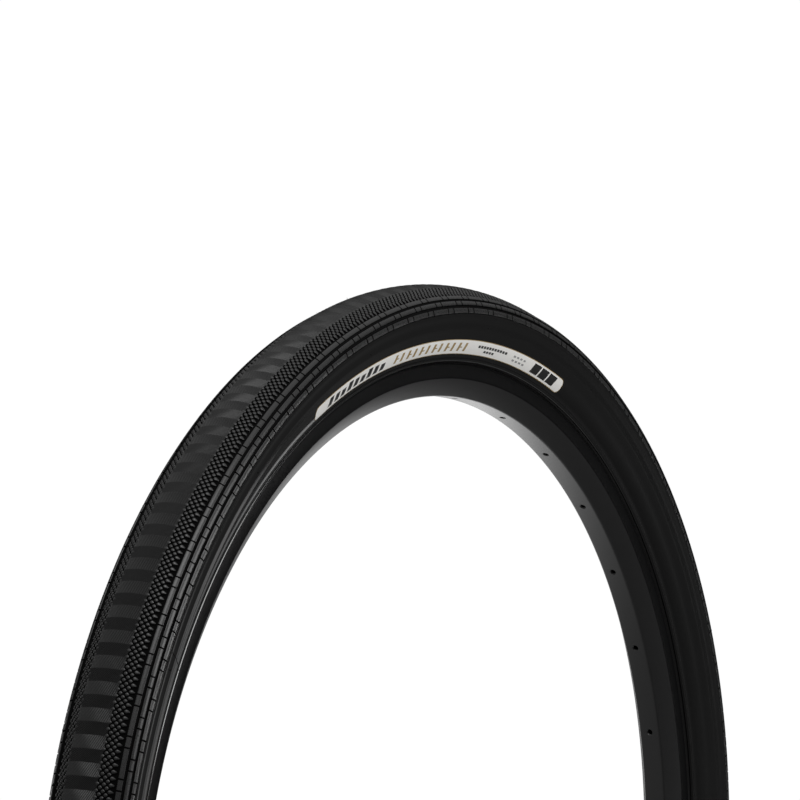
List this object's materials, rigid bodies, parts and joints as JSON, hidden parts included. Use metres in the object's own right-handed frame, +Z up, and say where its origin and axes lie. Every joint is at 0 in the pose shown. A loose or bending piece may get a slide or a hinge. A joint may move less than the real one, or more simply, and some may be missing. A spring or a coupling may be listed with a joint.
{
  "type": "bicycle tire",
  "caption": "Tubeless bicycle tire with a file-pattern tread and ribbed shoulders, seated on a spoke-drilled rim with a removable-core valve, lock ring and dust cap.",
  "frame": {"origin": "centre of the wheel, on the wheel axis and halfway across the tire", "axes": "+Y along the wheel axis to the left side, +X forward, +Z up; the valve is at the bottom"},
  "size_m": [0.6808, 0.0488, 0.6808],
  "materials": {
    "tread_rubber": "matte black rubber with fine knobs",
    "sidewall_rubber": "satin black rubber",
    "casing_fabric": "rubberised nylon cord, dark grey",
    "liner_rubber": "smooth airtight rubber",
    "belt_fabric": "woven aramid, straw coloured",
    "bead_aramid": "bundled aramid yarn, yellow",
    "label_film": "off-white film bonded to the sidewall, thin gold outline",
    "rim_anodised": "black anodised, satin",
    "sleeve_aluminium": "plain extruded aluminium",
    "tape_film": "thin sealing tape, translucent yellow-brown",
    "black_rubber": "moulded black rubber",
    "valve_metal": "black anodised, satin",
    "valve_brass": "plain turned brass",
    "cap_plastic": "moulded black plastic"
  },
  "bodies": {
    "tyre_and_rim": {"tread_cap": "tread_rubber", "puncture_belt": "belt_fabric", "casing_ply_outer": "casing_fabric", "casing_ply_inner": "casing_fabric", "inner_liner": "liner_rubber", "sidewall_left": "sidewall_rubber", "sidewall_right": "sidewall_rubber", "bead_core_left": "bead_aramid", "bead_core_right": "bead_aramid", "chafer_left": "black_rubber", "chafer_right": "black_rubber", "label_left": "label_film", "label_right": "label_film", "rim": "rim_anodised", "rim_joint_sleeve": "sleeve_aluminium", "rim_tape": "tape_film", "valve_base": "black_rubber", "valve_stem": "valve_metal", "valve_core_body": "valve_brass"},
    "lock_washer": {"lock_washer": "black_rubber"},
    "lock_ring": {"lock_ring": "valve_metal"},
    "valve_pin": {"valve_pin": "valve_brass", "valve_core_seal": "black_rubber"},
    "valve_nut": {"valve_nut": "valve_brass"},
    "dust_cap": {"dust_cap": "cap_plastic"}
  },
  "joints": [
    {"name": "dust_cap_slide", "type": "slide", "parent": "tyre_and_rim", "child": "dust_cap", "axis": [0.0589, 0, 0.9983], "range_m": [0, 0.024]},
    {"name": "lock_washer_slide", "type": "slide", "parent": "tyre_and_rim", "child": "lock_washer", "axis": [0.0589, 0, 0.9983], "range_m": [0, 0.004]},
    {"name": "lock_ring_turn", "type": "hinge", "parent": "lock_washer", "child": "lock_ring", "pos_m": [-0.0162, 0, -0.27462], "axis": [0.0589, 0, 0.9983], "range_deg": [0, 1800]},
    {"name": "valve_pin_press", "type": "slide", "parent": "tyre_and_rim", "child": "valve_pin", "axis": [-0.0589, 0, -0.9983], "range_m": [0, 0.0025]},
    {"name": "valve_nut_turn", "type": "hinge", "parent": "valve_pin", "child": "valve_nut", "pos_m": [-0.01474, 0, -0.24997], "axis": [0.0589, 0, 0.9983], "range_deg": [0, 1440]}
  ],
  "couplings": [
    {"joint": "lock_ring_turn", "follows": "lock_washer_slide", "rad_per_m": 7854}
  ]
}
